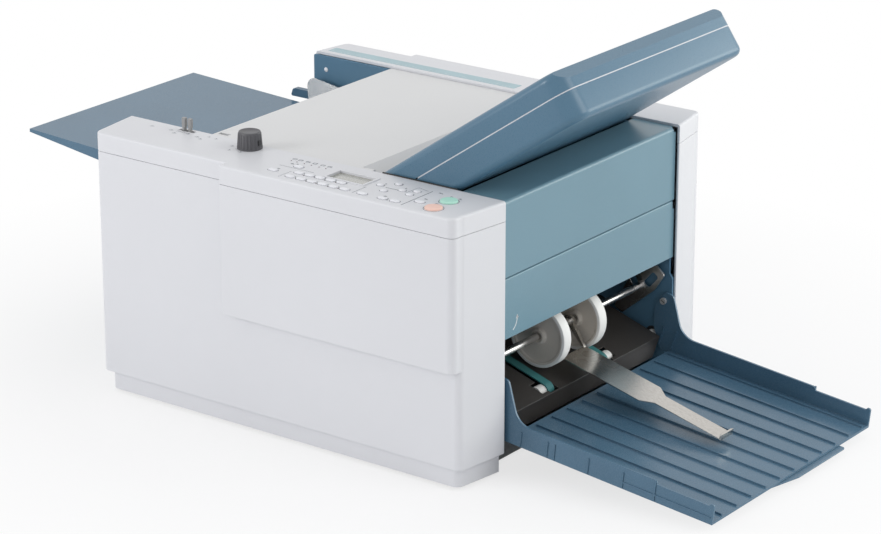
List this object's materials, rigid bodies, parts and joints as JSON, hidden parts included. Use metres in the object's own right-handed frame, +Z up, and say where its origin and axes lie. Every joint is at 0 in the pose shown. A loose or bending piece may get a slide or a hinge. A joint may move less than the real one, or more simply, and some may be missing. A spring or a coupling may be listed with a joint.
{
  "type": "paper folding machine",
  "caption": "Desk paper folding machine with a feed tray, a control panel, a sloping fold plate and a delivery tray with stacking wheels",
  "frame": {"origin": "on the surface that the machine stands on, under the middle of its casing", "axes": "+X from the feed end to the delivery end, +Y from the operator's side to the rear, +Z up"},
  "size_m": [0.9894, 0.49, 0.4705],
  "materials": {
    "cover_white": "moulded, light texture, satin",
    "panel_blue": "satin",
    "shell_blue": "moulded, satin",
    "chassis_blue": "satin",
    "tray_blue": "moulded, fine texture",
    "zinc_steel": "zinc plated",
    "bright_steel": "plated, bright",
    "stainless": "polished",
    "roller_rubber": "ground matt",
    "gear_plastic": "moulded",
    "belt_teal": "matt",
    "belt_black": "matt",
    "deck_grey": "satin",
    "wheel_grey": "moulded",
    "tyre_white": "matt",
    "knob_grey": "ribbed",
    "key_white": "silicone",
    "start_green": "silicone",
    "stop_peach": "silicone",
    "lcd_glass": "clear over a grey display",
    "scale_teal": "printed strip",
    "board_green": "printed circuit board",
    "motor_black": "black"
  },
  "bodies": {
    "chassis": {"front_cover": "cover_white", "rear_cover": "cover_white", "front_cap": "cover_white", "rear_cap": "cover_white", "exit_cover": "panel_blue", "feed_end_cover": "panel_blue", "frame_front": "chassis_blue", "frame_rear": "chassis_blue", "base_plate": "zinc_steel", "cross_stays": "zinc_steel", "feed_table": "zinc_steel", "lower_fold_plate": "zinc_steel", "wheel_brackets": "bright_steel", "tray_pivots": "bright_steel", "separator_pad": "roller_rubber", "rubber_feet": "roller_rubber", "shaft_bushes": "gear_plastic", "conveyor_belts": "belt_teal", "drive_belts": "belt_black", "delivery_deck": "deck_grey", "panel_keys": "key_white", "lcd_window": "lcd_glass", "size_scale": "scale_teal", "panel_board": "board_green", "control_board": "board_green", "drive_motor": "motor_black", "power_inlet": "motor_black"},
    "lid": {"top_lid": "cover_white"},
    "flap": {"exit_flap": "panel_blue"},
    "fold_plate": {"fold_plate_upper_shell": "shell_blue", "fold_plate_lower_shell": "shell_blue"},
    "fold_stop_bar": {"fold_stop": "zinc_steel"},
    "lower_stop_bar": {"lower_fold_stop": "zinc_steel"},
    "tray": {"delivery_tray": "tray_blue"},
    "extension": {"tray_extension": "tray_blue"},
    "wheel_set": {"wheel_shaft": "bright_steel", "wheel_discs": "wheel_grey", "wheel_tyres": "tyre_white"},
    "leaf": {"press_leaf": "stainless"},
    "roller_1": {"fold_roller_one": "roller_rubber", "roller_gear_one": "gear_plastic"},
    "roller_2": {"fold_roller_two": "roller_rubber", "roller_gear_two": "gear_plastic"},
    "roller_3": {"fold_roller_three": "roller_rubber", "roller_gear_three": "gear_plastic"},
    "roller_4": {"fold_roller_four": "roller_rubber", "roller_gear_four": "gear_plastic"},
    "feed_drum": {"feed_roller": "roller_rubber"},
    "conveyor_driver": {"conveyor_drive_roller": "roller_rubber"},
    "conveyor_follower": {"conveyor_idler": "roller_rubber"},
    "motor_rotor": {"motor_shaft": "bright_steel"},
    "knob": {"setting_knob": "knob_grey"},
    "start_button": {"start_key": "start_green"},
    "stop_button": {"stop_key": "stop_peach"},
    "lever_left": {"feed_lever_left": "knob_grey"},
    "lever_right": {"feed_lever_right": "knob_grey"},
    "guide_front": {"front_side_guide": "bright_steel"},
    "guide_rear": {"rear_side_guide": "bright_steel"},
    "infeed_tray": {"feed_tray": "tray_blue"},
    "rocker": {"power_rocker": "motor_black"}
  },
  "joints": [
    {"name": "lid_hinge", "type": "hinge", "parent": "chassis", "child": "lid", "pos_m": [0.078, 0.011, 0.306], "axis": [0, 1, 0], "range_deg": [0, 75]},
    {"name": "flap_hinge", "type": "hinge", "parent": "chassis", "child": "flap", "pos_m": [0.256, 0.011, 0.222], "axis": [0, 1, 0], "range_deg": [-85, 0]},
    {"name": "fold_plate_lift_off", "type": "slide", "parent": "chassis", "child": "fold_plate", "axis": [0.8241, 0, 0.5664], "range_m": [0, 0.12]},
    {"name": "fold_stop_travel", "type": "slide", "parent": "fold_plate", "child": "fold_stop_bar", "axis": [0.8241, 0, 0.5664], "range_m": [0, 0.09]},
    {"name": "lower_stop_travel", "type": "slide", "parent": "chassis", "child": "lower_stop_bar", "axis": [-0.8192, 0, -0.5736], "range_m": [-0.045, 0.04]},
    {"name": "tray_fold", "type": "hinge", "parent": "chassis", "child": "tray", "pos_m": [0.2556, 0.011, 0.1034], "axis": [0, -1, 0], "range_deg": [0, 75]},
    {"name": "tray_extension_slide", "type": "slide", "parent": "tray", "child": "extension", "axis": [0.9938, 0, -0.1115], "range_m": [0, 0.035]},
    {"name": "wheel_spin", "type": "hinge", "parent": "chassis", "child": "wheel_set", "pos_m": [0.2197, 0.011, 0.1144], "axis": [0, 1, 0], "continuous": true},
    {"name": "leaf_lift", "type": "hinge", "parent": "chassis", "child": "leaf", "pos_m": [0.2197, 0.011, 0.1144], "axis": [0, -1, 0], "range_deg": [0, 75]},
    {"name": "roller_1_spin", "type": "hinge", "parent": "chassis", "child": "roller_1", "pos_m": [0.048, 0.011, 0.2733], "axis": [0, 1, 0], "continuous": true},
    {"name": "roller_2_spin", "type": "hinge", "parent": "chassis", "child": "roller_2", "pos_m": [0.048, 0.011, 0.2427], "axis": [0, 1, 0], "continuous": true},
    {"name": "roller_3_spin", "type": "hinge", "parent": "chassis", "child": "roller_3", "pos_m": [0.07307, 0.011, 0.22515], "axis": [0, 1, 0], "continuous": true},
    {"name": "roller_4_spin", "type": "hinge", "parent": "chassis", "child": "roller_4", "pos_m": [0.06515, 0.011, 0.19559], "axis": [0, 1, 0], "continuous": true},
    {"name": "feed_roller_spin", "type": "hinge", "parent": "chassis", "child": "feed_drum", "pos_m": [-0.118, 0.011, 0.284], "axis": [0, 1, 0], "continuous": true},
    {"name": "conveyor_drive_spin", "type": "hinge", "parent": "chassis", "child": "conveyor_driver", "pos_m": [0.10488, 0.011, 0.09756], "axis": [0, 1, 0], "continuous": true},
    {"name": "conveyor_idler_spin", "type": "hinge", "parent": "chassis", "child": "conveyor_follower", "pos_m": [0.23831, 0.011, 0.05841], "axis": [0, 1, 0], "continuous": true},
    {"name": "motor_spin", "type": "hinge", "parent": "chassis", "child": "motor_rotor", "pos_m": [0.03, 0.011, 0.076], "axis": [0, 1, 0], "continuous": true},
    {"name": "knob_turn", "type": "hinge", "parent": "chassis", "child": "knob", "pos_m": [-0.0746, -0.1771, 0.319], "axis": [0, 0, 1], "range_deg": [-140, 140]},
    {"name": "start_press", "type": "slide", "parent": "chassis", "child": "start_button", "axis": [0, 0, 1], "range_m": [-0.0015, 0], "stiffness_N_per_m": 300, "springref_m": 0.0004},
    {"name": "stop_press", "type": "slide", "parent": "chassis", "child": "stop_button", "axis": [0, 0, 1], "range_m": [-0.0015, 0], "stiffness_N_per_m": 300, "springref_m": 0.0004},
    {"name": "left_lever_swing", "type": "hinge", "parent": "chassis", "child": "lever_left", "pos_m": [-0.1785, -0.1685, 0.292], "axis": [0, 1, 0], "range_deg": [-9, 1.5]},
    {"name": "right_lever_swing", "type": "hinge", "parent": "chassis", "child": "lever_right", "pos_m": [-0.1698, -0.1685, 0.292], "axis": [0, 1, 0], "range_deg": [-1.5, 9]},
    {"name": "front_guide_slide", "type": "slide", "parent": "chassis", "child": "guide_front", "axis": [0, -1, 0], "range_m": [-0.1, 0]},
    {"name": "rear_guide_slide", "type": "slide", "parent": "chassis", "child": "guide_rear", "axis": [0, 1, 0], "range_m": [-0.1, 0]},
    {"name": "feed_tray_fold", "type": "hinge", "parent": "chassis", "child": "infeed_tray", "pos_m": [-0.262, 0.011, 0.25], "axis": [0, 1, 0], "range_deg": [0, 85]},
    {"name": "rocker_switch", "type": "hinge", "parent": "chassis", "child": "rocker", "pos_m": [-0.1785, 0.23, 0.07], "axis": [1, 0, 0], "range_deg": [-14, 0]}
  ],
  "couplings": [
    {"joint": "leaf_lift", "follows": "tray_fold", "ratio": 1},
    {"joint": "roller_2_spin", "follows": "roller_1_spin", "ratio": -1},
    {"joint": "roller_3_spin", "follows": "roller_1_spin", "ratio": 1},
    {"joint": "roller_4_spin", "follows": "roller_1_spin", "ratio": -1},
    {"joint": "feed_roller_spin", "follows": "roller_1_spin", "ratio": 1},
    {"joint": "conveyor_drive_spin", "follows": "roller_1_spin", "ratio": -1},
    {"joint": "conveyor_idler_spin", "follows": "roller_1_spin", "ratio": -1.5},
    {"joint": "motor_spin", "follows": "roller_1_spin", "ratio": -2.2222}
  ]
}
